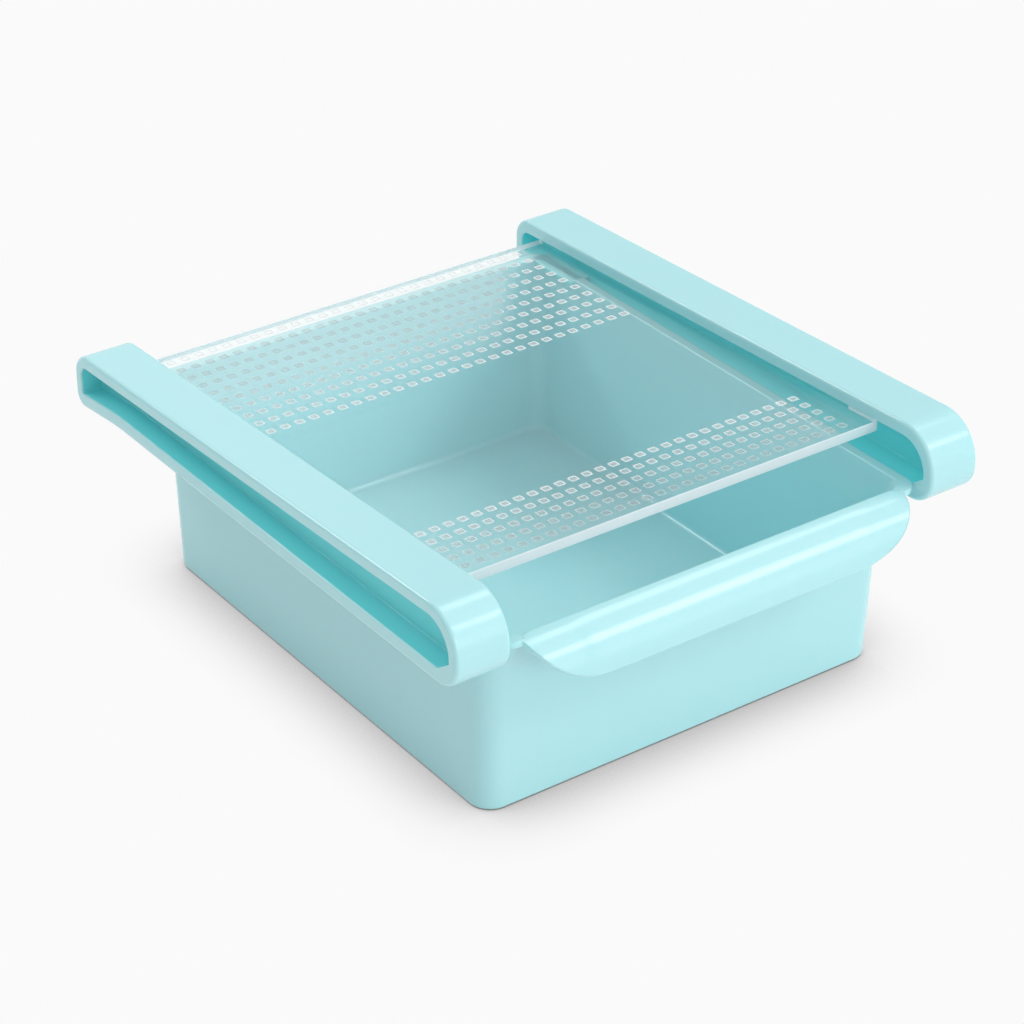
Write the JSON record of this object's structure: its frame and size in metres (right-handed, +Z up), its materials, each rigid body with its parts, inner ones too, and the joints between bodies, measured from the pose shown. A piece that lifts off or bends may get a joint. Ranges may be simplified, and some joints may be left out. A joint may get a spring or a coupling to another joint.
{
  "type": "fridge drawer organizer",
  "caption": "Pull-out fridge drawer with a rolled pull lip, hung between two side rails that hold a clear top panel.",
  "frame": {"origin": "centre of the overall outline, on the plane of the bin's floor", "axes": "+Z up, +X to the right seen from the front, +Y to the rear; the drawer pulls out along -Y"},
  "size_m": [0.165, 0.1884, 0.072],
  "materials": {
    "teal_plastic": "smooth moulded",
    "clear_panel": "clear with two frosted bands"
  },
  "bodies": {
    "frame": {"left_rail": "teal_plastic", "right_rail": "teal_plastic", "shelf_panel": "clear_panel"},
    "drawer": {"drawer_bin": "teal_plastic"}
  },
  "joints": [
    {"name": "drawer_slide", "type": "slide", "parent": "frame", "child": "drawer", "axis": [0, -1, 0], "range_m": [-0.011, 0.139]}
  ]
}
